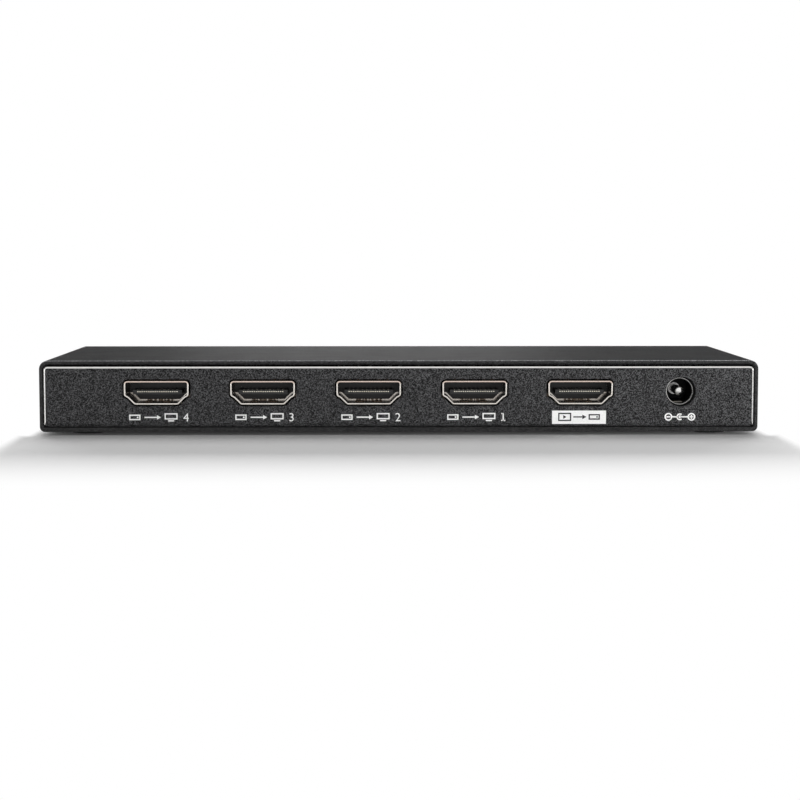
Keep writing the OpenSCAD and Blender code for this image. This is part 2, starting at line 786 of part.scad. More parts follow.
module thermal_pad() {
    color("#9aa0a6") block(chip_place, [chip_size.x, chip_size.y, pad_t], top_z + chip_size.z);
}

module heatsink() {
    base_z = top_z + chip_size.z + pad_t;
    step = (sink_side - fin_t) / (sink_fins - 1);
    color("#a9abad") {
        block(chip_place, [sink_side, sink_side, sink_base], base_z);
        for (n = [0:sink_fins - 1])
            block([chip_place.x + (n - (sink_fins - 1) / 2) * step, chip_place.y],
                [fin_t, sink_side, sink_h - sink_base + eps], base_z + sink_base - eps);
    }
}

// Moulded chip with a row of bent leads along both long sides
module leaded_chip(place, size) {
    shank = [lead_size.x, lead_shank, size.z / 2];
    shank_y = (size.y + lead_shank) / 2 - lead_lap;
    foot_y = (size.y + lead_size.y) / 2;
    block(place, [size.x, size.y, size.z - chip_lift], top_z + chip_lift);
    for (side = [-1, 1]) for (n = [0:lead_count - 1]) {
        x = place.x + (n - (lead_count - 1) / 2) * lead_pitch;
        block([x, place.y + side * foot_y], lead_size, top_z);
        block([x, place.y + side * shank_y], shank, top_z);
    }
}

module memory_chip() {
    color("#242426") leaded_chip(memory_place, memory_size);
}

module regulator_chip() {
    color("#242426") leaded_chip(regulator_place, regulator_size);
}

module clock_crystal() {
    color("#bdbdb8") {
        block(crystal_place, crystal_base, top_z);
        block(crystal_place, crystal_lid, top_z + crystal_base.z - eps);
    }
}

module power_inductor() {
    color("#3b3b3d") {
        block(inductor_place, inductor_base, top_z);
        translate([inductor_place.x, inductor_place.y, top_z + inductor_base.z - eps])
            cylinder(h = inductor_h, r = inductor_r);
    }
}

module input_capacitors() {
    color("#c4c6c8") for (p = capacitor_places) {
        block(p, capacitor_base, top_z);
        translate([p.x, p.y, top_z + capacitor_base.z - eps])
            cylinder(h = capacitor_h - capacitor_base.z, r = capacitor_r);
    }
}

module filter_capacitors() {
    color("#b08a5e") for (p = filter_places) block(p, filter_size, top_z);
}

module surge_arrays() {
    color("#2a2a2c") for (x = ports) for (side = [-1, 1])
        block([x + side * surge_x, mouth_y + block_back + surge_offset], surge_size, top_z);
}

case_sleeve();
chassis_tray();
rubber_feet();
case_screws();
clinch_nuts();
circuit_board();
board_standoffs();
board_screws();
for (i = [0:4]) socket_shell(i);
for (i = [0:4]) socket_insulator(i);
for (i = [0:4]) socket_contacts(i);
jack_body();
jack_ring();
jack_centre_pin();
jack_pin_terminal();
jack_leaf();
jack_leaf_terminal();
light_pipe();
status_lamps();
splitter_chip();
thermal_pad();
heatsink();
memory_chip();
clock_crystal();
regulator_chip();
power_inductor();
input_capacitors();
filter_capacitors();
surge_arrays();
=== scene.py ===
"""Looks of a one-in, four-out video splitter: its finishes, printed marks, studio and camera.

Everything is in metres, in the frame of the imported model: X along the socket row, the rear panel
towards -Y, and Z = 0 on the surface that the feet stand on.
"""
import json
import math

import bpy
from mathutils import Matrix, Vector

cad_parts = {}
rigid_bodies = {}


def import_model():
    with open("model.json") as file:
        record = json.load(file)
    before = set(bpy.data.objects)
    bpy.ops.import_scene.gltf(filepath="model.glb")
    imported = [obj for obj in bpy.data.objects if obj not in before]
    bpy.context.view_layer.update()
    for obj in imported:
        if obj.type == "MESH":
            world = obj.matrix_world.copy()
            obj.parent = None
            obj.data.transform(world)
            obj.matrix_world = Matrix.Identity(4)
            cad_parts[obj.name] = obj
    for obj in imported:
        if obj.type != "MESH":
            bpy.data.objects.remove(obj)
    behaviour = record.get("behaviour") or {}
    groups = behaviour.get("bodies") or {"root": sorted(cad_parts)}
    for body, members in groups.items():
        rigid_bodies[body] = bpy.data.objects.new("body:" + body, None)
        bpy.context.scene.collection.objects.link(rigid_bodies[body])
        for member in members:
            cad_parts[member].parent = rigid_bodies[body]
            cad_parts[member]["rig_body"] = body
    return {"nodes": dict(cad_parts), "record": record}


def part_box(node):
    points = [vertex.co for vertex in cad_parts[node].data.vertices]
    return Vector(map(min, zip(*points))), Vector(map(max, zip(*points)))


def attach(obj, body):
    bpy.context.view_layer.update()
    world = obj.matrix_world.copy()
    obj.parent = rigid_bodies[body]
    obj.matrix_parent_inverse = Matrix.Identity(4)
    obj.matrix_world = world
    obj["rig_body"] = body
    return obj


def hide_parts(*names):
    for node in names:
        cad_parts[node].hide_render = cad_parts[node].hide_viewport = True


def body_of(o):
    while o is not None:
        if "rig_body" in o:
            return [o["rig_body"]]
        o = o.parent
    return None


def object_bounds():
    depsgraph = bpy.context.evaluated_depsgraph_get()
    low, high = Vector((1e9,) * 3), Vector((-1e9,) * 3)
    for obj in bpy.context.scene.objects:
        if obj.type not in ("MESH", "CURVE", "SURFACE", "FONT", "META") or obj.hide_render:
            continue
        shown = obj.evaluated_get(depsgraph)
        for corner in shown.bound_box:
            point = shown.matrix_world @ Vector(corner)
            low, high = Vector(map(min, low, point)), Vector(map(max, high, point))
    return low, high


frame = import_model()
cad_low, cad_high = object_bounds()

MM = 0.001
BODY = "splitter"
OUTPUTS = ("output_4", "output_3", "output_2", "output_1")
PORTS = (*OUTPUTS, "input")
SLOT_OF = {row["node"]: row["material_slot"] for row in frame["record"]["subparts"]}

# The photograph's view: a long lens behind the rear panel, a little above the case
CAMERA_PLACE = Vector((-5.09, -464.1, 44.78)) * MM
CAMERA_PITCH = 0.0842
CAMERA_YAW = 0.012
CAMERA_LENS = 85.48

# Rear panel and the places printed on it
PANEL_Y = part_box("chassis_tray")[0].y
MARK_Z = 4.2 * MM
MARK_H = 1.9 * MM
STROKE = 0.3 * MM
INK_PROUD = 0.02 * MM
INK_SUNK = 0.01 * MM

# Front of the boss in the power jack
BOSS_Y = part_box("jack_body")[0].y + 8.6 * MM

# How far the front panel's sides and top are drawn out into their gaps
SIDE_DRAW = 0.08 * MM
TOP_DRAW = 0.34 * MM

# Studio levels
AMBIENT = 0.21
MIRROR_FRONT = 0.9
MIRROR_BACK = 0.12
SHADOW_LIFT = 0.015

# Distances from the object where the lit floor turns plain white, END_FALL times shorter past its ends
LIT_PAPER = 32 * MM
WHITE_PAPER = 92 * MM
END_FALL = 16
# Beside the object it is plain white from END_GAP on, and this begins between two places along Y
END_GAP = 3 * MM
BESIDE_START = -36 * MM
BESIDE_FULL = -28 * MM

# Mesh clean-up of copied nodes
MERGE_GAP = 0.0005 * MM
FLAT_ANGLE = math.radians(0.6)
SMOOTH_ANGLE = math.radians(38)


# Helpers for meshes

def start_piece():
    bpy.ops.object.select_all(action="DESELECT")


def pick(*pieces):
    """Selects just these pieces, the last one active."""
    start_piece()
    for piece in pieces:
        piece.select_set(True)
        bpy.context.view_layer.objects.active = piece
    return pieces[-1]


def edit(mode="FACE"):
    bpy.ops.object.mode_set(mode="EDIT")
    bpy.ops.mesh.select_mode(type=mode)


def done():
    bpy.ops.object.mode_set(mode="OBJECT")


def select_faces(piece, test):
    """In edit mode, selects the faces whose centre and normal pass the test."""
    bpy.ops.mesh.select_all(action="DESELECT")
    done()
    for face in piece.data.polygons:
        face.select = test(face.center, face.normal)
    edit()


def paint(piece, slot, test):
    """Gives the faces that pass the test another of the piece's finishes."""
    pick(piece)
    edit()
    select_faces(piece, test)
    piece.active_material_index = slot
    bpy.ops.object.material_slot_assign()
    done()


def shift(piece, test, way):
    """Moves the points that pass the test."""
    pick(piece)
    edit("VERT")
    bpy.ops.mesh.select_all(action="DESELECT")
    done()
    for point in piece.data.vertices:
        point.select = test(point.co)
    edit("VERT")
    bpy.ops.transform.translate(value=way)
    done()


def joined(name, parts):
    """One piece out of several, with its place in its mesh."""
    piece = pick(*parts)
    if len(parts) > 1:
        bpy.ops.object.join()
    bpy.ops.object.transform_apply(location=True, rotation=True, scale=True)
    piece.name = name
    piece.data.name = name
    return piece


def wear(piece, *finishes):
    piece.data.materials.clear()
    for material in finishes:
        piece.data.materials.append(material)


def stand_in(node, name, *finishes):
    """Stands for a CAD node: a copy with its points merged and its flats whole."""
    source = frame["nodes"][node]
    piece = bpy.data.objects.new(name, source.data.copy())
    bpy.context.collection.objects.link(piece)
    pick(piece)
    edit()
    bpy.ops.mesh.select_all(action="SELECT")
    bpy.ops.mesh.remove_doubles(threshold=MERGE_GAP)
    bpy.ops.mesh.customdata_custom_splitnormals_clear()
    bpy.ops.mesh.dissolve_limited(angle_limit=FLAT_ANGLE)
    done()
    wear(piece, *finishes)
    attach(piece, body_of(source)[0])
    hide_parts(node)
    return piece


def round_edges(piece, radius, around=None, where=None):
    """Rounds a piece's sharp edges, or those around the faces that pass a test.

    With a second test, only the edges whose points pass it are rounded.
    """
    pick(piece)
    edit("EDGE")
    if around:
        select_faces(piece, around)
        bpy.ops.mesh.region_to_loop()
    else:
        bpy.ops.mesh.select_all(action="DESELECT")
        bpy.ops.mesh.edges_select_sharp(sharpness=SMOOTH_ANGLE)
    if where:
        done()
        points = piece.data.vertices
        for edge in piece.data.edges:
            edge.select = edge.select and all(where(points[i].co) for i in edge.vertices)
        for point in points:
            point.select = False
        edit("EDGE")
    bpy.ops.mesh.bevel(offset=radius, segments=3, affect="EDGES", clamp_overlap=False)
    done()


def settle(piece):
    """Smooths what is rounded and keeps the flats flat."""
    pick(piece)
    bpy.ops.object.shade_smooth_by_angle(angle=SMOOTH_ANGLE)
    bpy.ops.object.modifier_add(type="WEIGHTED_NORMAL")
    flats = piece.modifiers[-1]
    flats.keep_sharp = True
    flats.weight = 100
    bpy.ops.object.modifier_apply(modifier=flats.name)


# Helpers for finishes

def new_finish(name):
    """A material, its nodes, its shader and the Object coordinates that its patterns follow."""
    material = bpy.data.materials.new(name)
    material.use_nodes = True
    tree = material.node_tree
    shader = tree.nodes["Principled BSDF"]
    place = tree.nodes.new("ShaderNodeTexCoord").outputs["Object"]
    return material, tree, shader, place


def stretched(tree, place, scale):
    node = tree.nodes.new("ShaderNodeMapping")
    node.inputs["Scale"].default_value = scale
    tree.links.new(place, node.inputs["Vector"])
    return node.outputs["Vector"]


def noise(tree, place, size, detail=2.0, rough=0.5):
    """Cloudy pattern whose blotches are about size across."""
    node = tree.nodes.new("ShaderNodeTexNoise")
    node.inputs["Scale"].default_value = 1 / size
    node.inputs["Detail"].default_value = detail
    node.inputs["Roughness"].default_value = rough
    tree.links.new(place, node.inputs["Vector"])
    return node.outputs["Fac"]


def specks(tree, place, size):
    """A random level for each speck, soft at its edges."""
    node = tree.nodes.new("ShaderNodeTexVoronoi")
    node.feature = "SMOOTH_F1"
    node.inputs["Scale"].default_value = 1 / size
    node.inputs["Smoothness"].default_value = 0.3
    tree.links.new(place, node.inputs["Vector"])
    return node.outputs["Color"]


def ramp(tree, factor, *stops):
    """Colours along a factor, as (position, colour) stops."""
    node = tree.nodes.new("ShaderNodeValToRGB")
    elements = node.color_ramp.elements
    while len(elements) < len(stops):
        elements.new(0.5)
    for element, (position, colour) in zip(elements, stops):
        element.position = position
        element.color = (*colour, 1)
    tree.links.new(factor, node.inputs["Fac"])
    return node.outputs["Color"]


def span(tree, factor, low, high):
    """A factor of about 0.3 to 0.7 spread from low to high."""
    node = tree.nodes.new("ShaderNodeMapRange")
    node.inputs["From Min"].default_value = 0.3
    node.inputs["From Max"].default_value = 0.7
    node.inputs["To Min"].default_value = low
    node.inputs["To Max"].default_value = high
    tree.links.new(factor, node.inputs["Value"])
    return node.outputs["Result"]


def between(tree, value, start, end, low=0.0, high=1.0):
    """One level up to the start of a stretch, another from its end, and a smooth change on the way."""
    node = tree.nodes.new("ShaderNodeMapRange")
    node.interpolation_type = "SMOOTHSTEP"
    node.inputs["From Min"].default_value = start
    node.inputs["From Max"].default_value = end
    node.inputs["To Min"].default_value = low
    node.inputs["To Max"].default_value = high
    tree.links.new(value, node.inputs["Value"])
    return node.outputs["Result"]


def blend(tree, colour, other, factor):
    """A colour that turns into a fixed one as the factor rises."""
    node = tree.nodes.new("ShaderNodeMix")
    node.data_type = "RGBA"
    node.inputs["B"].default_value = (*other, 1)
    tree.links.new(factor, node.inputs["Factor"])
    tree.links.new(colour, node.inputs["A"])
    return node.outputs["Result"]


def calc(tree, operation, *values):
    """One Math node on sockets and plain numbers."""
    node = tree.nodes.new("ShaderNodeMath")
    node.operation = operation
    for socket, value in zip(node.inputs, values):
        if isinstance(value, (int, float)):
            socket.default_value = value
        else:
            tree.links.new(value, socket)
    return node.outputs["Value"]


def axes(tree, place):
    """The three parts of a place."""
    node = tree.nodes.new("ShaderNodeSeparateXYZ")
    tree.links.new(place, node.inputs["Vector"])
    return node.outputs["X"], node.outputs["Y"], node.outputs["Z"]


def bump(tree, shader, height, strength, depth):
    node = tree.nodes.new("ShaderNodeBump")
    node.inputs["Strength"].default_value = strength
    node.inputs["Distance"].default_value = depth
    tree.links.new(height, node.inputs["Height"])
    tree.links.new(node.outputs["Normal"], shader.inputs["Normal"])


def grey(level):
    return (level, level, level * 1.03)


# Finishes

def powder_coat(name, dark, light, rough, gloss):
    """Fine-texture black powder coat: a grain of dark and pale specks with a soft sheen."""
    material, tree, shader, place = new_finish(name)
    shader.inputs["Specular IOR Level"].default_value = gloss
    grain = noise(tree, place, 0.26 * MM, 2.0, 0.6)
    cloud = noise(tree, place, 9 * MM, 2.0)
    usual = dark + 0.27 * (light - dark)
    half_grain = calc(tree, "MULTIPLY", grain, 0.5)
    level = calc(tree, "MULTIPLY_ADD", specks(tree, place, 0.17 * MM), 0.5, half_grain)
    tone = ramp(tree, level, (0.36, grey(dark)), (0.5, grey(usual)), (0.64, grey(light)))
    tree.links.new(tone, shader.inputs["Base Color"])
    tree.links.new(span(tree, cloud, rough - 0.02, rough + 0.02), shader.inputs["Roughness"])
    bump(tree, shader, grain, 0.5, 0.08 * MM)
    return material


def metal(name, pale, dark, rough, brush=(1, 1, 1), grain=0.25 * MM):
    """Plated or bare metal with faint tarnish and fine drawing lines along the brushed way."""
    material, tree, shader, place = new_finish(name)
    shader.inputs["Metallic"].default_value = 1.0
    cloud = noise(tree, place, 3 * MM, 3.0)
    lines = noise(tree, stretched(tree, place, brush), grain, 2.0)
    tree.links.new(ramp(tree, cloud, (0.3, dark), (0.65, pale)), shader.inputs["Base Color"])
    tree.links.new(span(tree, lines, rough * 0.8, rough * 1.25), shader.inputs["Roughness"])
    bump(tree, shader, lines, 0.06, 0.01 * MM)
    return material


def socket_plate_with_painted_light(name):
    """Plated socket sheet, bright at the mouth and the stop, with a painted rosy reflection along its top and
    painted shade, brown and dull, inside between them.
    """
    material = metal(name, (0.88, 0.84, 0.79), (0.78, 0.73, 0.67), 0.26)
    tree = material.node_tree
    shader = tree.nodes["Principled BSDF"]
    sheet = shader.inputs["Base Color"].links[0].from_socket
    place = tree.nodes["Texture Coordinate"].outputs["Object"]
    x, y, z = axes(tree, place)
    low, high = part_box("input_shell")
    pitch = low.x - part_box("output_1_shell")[0].x
    # Painted reflection: the top of the lip is tinted rosy, like the warmer light it reflects there.
    top_reflection_mask = between(tree, z, high.z - 0.8 * MM, high.z - 0.4 * MM)
    # Painted shade: brown and dull inside the shell, from just behind the mouth to the stop.
    behind_mouth = between(tree, y, low.y + 0.15 * MM, low.y + 0.7 * MM)
    ahead_of_stop = between(tree, y, low.y + 8.0 * MM, low.y + 7.8 * MM)
    # Painted shade across the middle of the stop's floor, left bright in flecks that stand for glints.
    across = calc(tree, "WRAP", calc(tree, "SUBTRACT", x, (low.x + high.x) / 2), pitch / 2, -pitch / 2)
    in_middle = between(tree, calc(tree, "ABSOLUTE", across), 3.1 * MM, 2.9 * MM)
    at_floor = between(tree, z, low.z + 4.5 * MM, low.z + 4 * MM)
    stop_shade_patches = between(tree, noise(tree, stretched(tree, place, (1, 0, 0)), 0.5 * MM), 0.58, 0.5)
    painted_shade_stop = calc(tree, "MULTIPLY", calc(tree, "MULTIPLY", in_middle, at_floor), stop_shade_patches)
    inside = calc(tree, "MULTIPLY", behind_mouth, calc(tree, "MAXIMUM", ahead_of_stop, painted_shade_stop))
    lip_with_painted_reflection = blend(tree, sheet, (0.78, 0.64, 0.56), top_reflection_mask)
    tree.links.new(blend(tree, lip_with_painted_reflection, (0.16, 0.12, 0.09), inside), shader.inputs["Base Color"])
    return material


def pin_plate_with_painted_shade(name):
    """Bright plated pin, with painted shade that darkens it where it stands in its boss."""
    material = metal(name, (0.95, 0.94, 0.92), (0.80, 0.79, 0.77), 0.1)
    tree = material.node_tree
    shader = tree.nodes["Principled BSDF"]
    plate = shader.inputs["Base Color"].links[0].from_socket
    depth = axes(tree, tree.nodes["Texture Coordinate"].outputs["Object"])[1]
    # Painted shade: near-black towards the pin's root in the boss.
    painted_shade_near_boss = between(tree, depth, BOSS_Y - 4 * MM, BOSS_Y - 2 * MM)
    tree.links.new(blend(tree, plate, (0.03, 0.03, 0.03), painted_shade_near_boss), shader.inputs["Base Color"])
    return material


def moulded(name, dark, light, rough, grain=0.12 * MM, strength=0.12, gloss=0.5):
    """Moulded plastic or rubber with a fine skin and slight shade changes."""
    material, tree, shader, place = new_finish(name)
    shader.inputs["Specular IOR Level"].default_value = gloss
    skin = noise(tree, place, grain, 2.0)
    cloud = noise(tree, place, 4 * MM, 2.0)
    tree.links.new(ramp(tree, cloud, (0.3, dark), (0.7, light)), shader.inputs["Base Color"])
    tree.links.new(span(tree, cloud, rough * 0.9, rough * 1.1), shader.inputs["Roughness"])
    bump(tree, shader, skin, strength, 0.02 * MM)
    return material


def solder_mask(name):
    """Green board laminate, with paler copper runs under the mask."""
    material, tree, shader, place = new_finish(name)
    runs = tree.nodes.new("ShaderNodeTexBrick")
    runs.inputs["Scale"].default_value = 1 / (6 * MM)
    runs.inputs["Mortar Size"].default_value = 0.03
    runs.inputs["Color1"].default_value = (0.010, 0.075, 0.030, 1)
    runs.inputs["Color2"].default_value = (0.012, 0.090, 0.038, 1)
    runs.inputs["Mortar"].default_value = (0.030, 0.180, 0.075, 1)
    tree.links.new(place, runs.inputs["Vector"])
    tree.links.new(runs.outputs["Color"], shader.inputs["Base Color"])
    weave = noise(tree, place, 0.5 * MM, 2.0)
    tree.links.new(span(tree, weave, 0.28, 0.4), shader.inputs["Roughness"])
    bump(tree, shader, weave, 0.08, 0.01 * MM)
    return material


def milky_moulding(name, tint, rough):
    """Milky resin that lets some light through."""
    material, tree, shader, place = new_finish(name)
    shader.inputs["Transmission Weight"].default_value = 0.15
    shader.inputs["IOR"].default_value = 1.49
    milk = noise(tree, place, 1.5 * MM, 2.0)
    paler = [1.1 * level for level in tint]
    tree.links.new(ramp(tree, milk, (0.3, tint), (0.7, paler)), shader.inputs["Base Color"])
    tree.links.new(span(tree, milk, rough * 0.8, rough * 1.2), shader.inputs["Roughness"])
    return material


def print_ink(name, thin, full):
    """Screen-printed ink, slightly uneven."""
    material, tree, shader, place = new_finish(name)
    film = noise(tree, place, 0.3 * MM, 2.0)
    tree.links.new(ramp(tree, film, (0.3, thin), (0.6, full)), shader.inputs["Base Color"])
    tree.links.new(span(tree, film, 0.5, 0.6), shader.inputs["Roughness"])
    return material


FINISH = {
    "case_coat": powder_coat("case_coat", 0.004, 0.044, 0.55, 0.3),
    "tray_coat": powder_coat("tray_coat", 0.002, 0.11, 0.55, 0.12),
    "plated_shell": socket_plate_with_painted_light("plated_shell"),
    "socket_plastic": moulded("socket_plastic", grey(0.011), grey(0.019), 0.42),
    "contact_plate": metal("contact_plate", (0.93, 0.89, 0.78), (0.86, 0.79, 0.64), 0.25),
    "jack_plastic": moulded("jack_plastic", grey(0.004), grey(0.007), 0.5, gloss=0.15),
    "pin_steel": pin_plate_with_painted_shade("pin_steel"),
    "spring_strip": metal("spring_strip", (0.42, 0.40, 0.36), (0.30, 0.28, 0.25), 0.4),
    "foot_rubber": moulded("foot_rubber", grey(0.010), grey(0.018), 0.8, 0.3 * MM, 0.4),
    "screw_black": metal("screw_black", (0.10, 0.10, 0.105), (0.05, 0.05, 0.055), 0.36),
    "zinc_hardware": metal("zinc_hardware", (0.74, 0.74, 0.71), (0.58, 0.58, 0.55), 0.3),
    "board_laminate": solder_mask("board_laminate"),
    "chip_mould": moulded("chip_mould", grey(0.012), grey(0.020), 0.6, 0.15 * MM, 0.3),
    "pad_grey": moulded("pad_grey", (0.30, 0.32, 0.35), (0.40, 0.42, 0.45), 0.8, 0.4 * MM, 0.3),
    "sink_metal": metal("sink_metal", (0.50, 0.51, 0.52), (0.40, 0.41, 0.42), 0.5, (1, 0.05, 1)),
    "can_metal": metal("can_metal", (0.84, 0.84, 0.83), (0.72, 0.72, 0.71), 0.22),
    "ferrite": moulded("ferrite", grey(0.030), grey(0.050), 0.7, 0.2 * MM, 0.4),
    "ceramic": moulded("ceramic", (0.36, 0.21, 0.10), (0.45, 0.28, 0.14), 0.45),
    "lamp_resin": moulded("lamp_resin", (0.70, 0.66, 0.50), (0.82, 0.80, 0.68), 0.3),
    "pipe_clear": milky_moulding("pipe_clear", (0.50, 0.53, 0.55), 0.3),
}
# Paler coat for the sleeve's top rim: a painted highlight.
EDGE_HIGHLIGHT_COAT = powder_coat("edge_highlight_coat", 0.15, 0.5, 0.5, 0.3)
# Metal finish for the front of the jack's plastic boss: a painted highlight.
BOSS_GLINT_STEEL = metal("boss_glint_steel", (0.55, 0.54, 0.53), (0.25, 0.25, 0.25), 0.25)
# Tarnish on the jack's mouth ring, its wide pale and dark patches also painted highlight and shade.
TARNISH_AND_SHEEN = metal("tarnish_and_sheen_steel", (0.90, 0.89, 0.87), (0.10, 0.10, 0.10), 0.24)
BARE_EDGE = metal("bare_edge", (0.90, 0.89, 0.87), (0.80, 0.79, 0.77), 0.3, (0.1, 1, 1))
WHITE_INK = print_ink("white_ink", (0.84, 0.84, 0.83), (0.93, 0.93, 0.92))
DARK_INK = print_ink("dark_ink", grey(0.012), grey(0.02))

for node, slot in SLOT_OF.items():
    wear(frame["nodes"][node], FINISH[slot])
# Jack mouth ring: tarnish with painted highlight and shade.
wear(frame["nodes"]["jack_ring"], TARNISH_AND_SHEEN)


# Casing, sockets and jack

def outer_sleeve():
    """The sleeve, its rims rounded, with a painted highlight of paler coat along the top's rear and front
    edges.
    """
    piece = stand_in("case_sleeve", "outer_sleeve", FINISH["case_coat"], EDGE_HIGHLIGHT_COAT)
    low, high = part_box("case_sleeve")
    middle = (low.z + high.z) / 2

    def outside(c, n):
        return abs(n.y) < 0.1 and n.x * c.x + n.z * (c.z - middle) > 0

    def at_rim(co):
        return abs(co.y) > high.y - 0.01 * MM

    def on_top_rim(c, n):
        return c.z > high.z - 0.3 * MM and n.z > 0.2 and abs(n.y) > 0.2

    round_edges(piece, 0.13 * MM, outside, at_rim)
    # Painted highlight: paler coat on the top rim's upward-facing rounded edges.
    paint(piece, 1, on_top_rim)
    settle(piece)


def folded_tray():
    """The tray, with its cut-outs' edges rounded and the chamfers along its panels left as bare metal.

    The front panel's sides and top are drawn out into their gaps, so that no light shows through the case.
    """
    piece = stand_in("chassis_tray", "folded_tray", FINISH["tray_coat"], BARE_EDGE)
    low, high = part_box("chassis_tray")
    chamfer_depth = 0.45 * MM
    panel_depth = 2 * MM
    edge_reach = 0.6 * MM

    def on_chamfer(c, n):
        return 0.3 < abs(n.y) < 0.95 and n.z > -0.05 and abs(c.y) > high.y - chamfer_depth

    def at_front(co):
        return co.y > high.y - panel_depth

    def on_rear_face(c, n):
        return n.y < -0.95 and c.y < low.y + 0.05 * MM

    def at_cut_out(co):
        return abs(co.x) < high.x - 2 * MM and low.z + 2 * MM < co.z < high.z - 1 * MM

    paint(piece, 1, on_chamfer)
    for side in (-1, 1):
        shift(piece, lambda co: at_front(co) and side * co.x > high.x - edge_reach, (side * SIDE_DRAW, 0, 0))
    shift(piece, lambda co: at_front(co) and co.z > high.z - edge_reach, (0, 0, TOP_DRAW))
    round_edges(piece, 0.15 * MM, on_rear_face, at_cut_out)
    settle(piece)


def socket_shells():
    """The sockets' pressed shells, with their mouths' edges rounded."""
    for port in PORTS:
        node = f"{port}_shell"
        piece = stand_in(node, f"{node}_finished", FINISH["plated_shell"])
        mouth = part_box(node)[0].y
        round_edges(piece, 0.1 * MM, lambda c, n: n.y < -0.95 and c.y < mouth + 0.05 * MM)
        settle(piece)


def feet_and_screws():
    for node, radius in (("rubber_feet", 0.12 * MM), ("case_screws", 0.06 * MM)):
        piece = stand_in(node, f"{node}_finished", FINISH[SLOT_OF[node]])
        round_edges(piece, radius)
        settle(piece)


def power_jack():
    """The jack's moulding, with a painted highlight on the boss that holds the pin: a ring of metal finish on
    its front.
    """
    piece = stand_in("jack_body", "jack_body_finished", FINISH["jack_plastic"], BOSS_GLINT_STEEL)
    low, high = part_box("jack_ring")
    axis = (low + high) / 2

    def off_axis(co):
        return math.hypot(co.x - axis.x, co.z - axis.z)

    def on_boss(c, n):
        return n.y < -0.5 and abs(c.y - BOSS_Y) < 0.1 * MM and off_axis(c) < 1.5 * MM

    round_edges(piece, 0.05 * MM, on_boss, lambda co: off_axis(co) > 1.3 * MM)
    # Painted highlight: metal finish on the boss's front ring.
    paint(piece, 1, on_boss)
    settle(piece)


# Printed marks

def flat_plane(x, z, width, height):
    """A flat patch of ink on the rear panel, before it gets its thickness."""
    start_piece()
    bpy.ops.mesh.primitive_plane_add(size=1, location=(x, PANEL_Y, z), rotation=(math.pi / 2, 0, 0))
    patch = bpy.context.object
    patch.scale = (width, height, 1)
    bpy.ops.object.transform_apply(location=True, rotation=True, scale=True)
    return patch


def flat_disc(x, z, radius, corners=40, turn=0.0):
    start_piece()
    bpy.ops.mesh.primitive_circle_add(
        vertices=corners, radius=radius, fill_type="NGON",
        location=(x, PANEL_Y, z), rotation=(math.pi / 2, turn, 0),
    )
    bpy.ops.object.transform_apply(location=True, rotation=True, scale=True)
    return bpy.context.object


def hollow(patch):
    """Leaves a patch's outline, one stroke wide."""
    pick(patch)
    edit()
    bpy.ops.mesh.select_all(action="SELECT")
    bpy.ops.mesh.inset(thickness=STROKE)
    bpy.ops.mesh.delete(type="FACE")
    done()
    return patch


def frame_patch(x, z, width, height):
    return hollow(flat_plane(x, z, width, height))


def arrow(x, length):
    """A shaft and a head that points to +X, with x at its left end."""
    reach = 0.62 * MM
    head = 1.5 * reach
    shaft = flat_plane(x + (length - head) / 2, MARK_Z, length - head, STROKE)
    tip = flat_disc(x + length - reach, MARK_Z, reach, 3, math.pi / 2)
    return [shaft, tip]


def one(x):
    """A plain 1 with a flag and a foot, with its left edge at x."""
    width = 0.95 * MM
    middle = x + width / 2
    return [
        flat_plane(middle, MARK_Z, STROKE, MARK_H),
        flat_plane(middle, MARK_Z - (MARK_H - STROKE) / 2, width, STROKE),
        flat_plane(middle - width / 4, MARK_Z + (MARK_H - STROKE) / 2, width / 2, STROKE),
    ]


def number(text, x):
    """A plain digit, as high as the other marks, with its left edge at x."""
    start_piece()
    bpy.ops.object.text_add(rotation=(math.pi / 2, 0, 0))
    digit = bpy.context.object
    digit.data.body = text
    bpy.ops.object.convert(target="MESH")
    bpy.ops.object.transform_apply(location=True, rotation=True, scale=True)
    heights = [v.co.z for v in digit.data.vertices]
    factor = MARK_H / (max(heights) - min(heights))
    left = min(v.co.x for v in digit.data.vertices)
    digit.scale = (factor, factor, factor)
    digit.location = (x - left * factor, PANEL_Y, MARK_Z - MARK_H / 2 - min(heights) * factor)
    bpy.ops.object.transform_apply(location=True, rotation=True, scale=True)
    return digit


def printed(name, parts, ink, lift=0.0):
    """Ink of a little thickness on the panel, or on other ink when lifted."""
    piece = joined(name, parts)
    edit()
    bpy.ops.mesh.select_all(action="SELECT")
    bpy.ops.transform.translate(value=(0, INK_SUNK - lift, 0))
    bpy.ops.mesh.extrude_region_move(TRANSFORM_OT_translate={"value": (0, -INK_SUNK - INK_PROUD, 0)})
    bpy.ops.mesh.select_all(action="SELECT")
    bpy.ops.mesh.normals_make_consistent(inside=False)
    done()
    wear(piece, ink)
    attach(piece, BODY)


def screen_mark(x):
    """A screen on its stand, with its left edge at x."""
    width, foot = 3.0 * MM, 1.4 * MM
    middle = x + width / 2
    lift = 0.45 * MM
    return [
        frame_patch(middle, MARK_Z + lift / 2, width, MARK_H - lift),
        flat_plane(middle, MARK_Z - MARK_H / 2 + STROKE / 2, foot, STROKE),
    ]


def box_mark(x):
    """A low box, which stands for the splitter, with its left edge at x."""
    width, height = 2.6 * MM, 1.3 * MM
    return [
        frame_patch(x + width / 2, MARK_Z, width, height),
        flat_disc(x + 0.75 * width, MARK_Z, 0.2 * MM, 16),
    ]


def player_mark(x):
    """A player, a box with a play sign in it, with its left edge at x."""
    width = 3.0 * MM
    middle = x + width / 2
    return [
        frame_patch(middle, MARK_Z, width, MARK_H),
        flat_disc(middle - 0.08 * MM, MARK_Z, 0.5 * MM, 3, math.pi / 2),
    ]


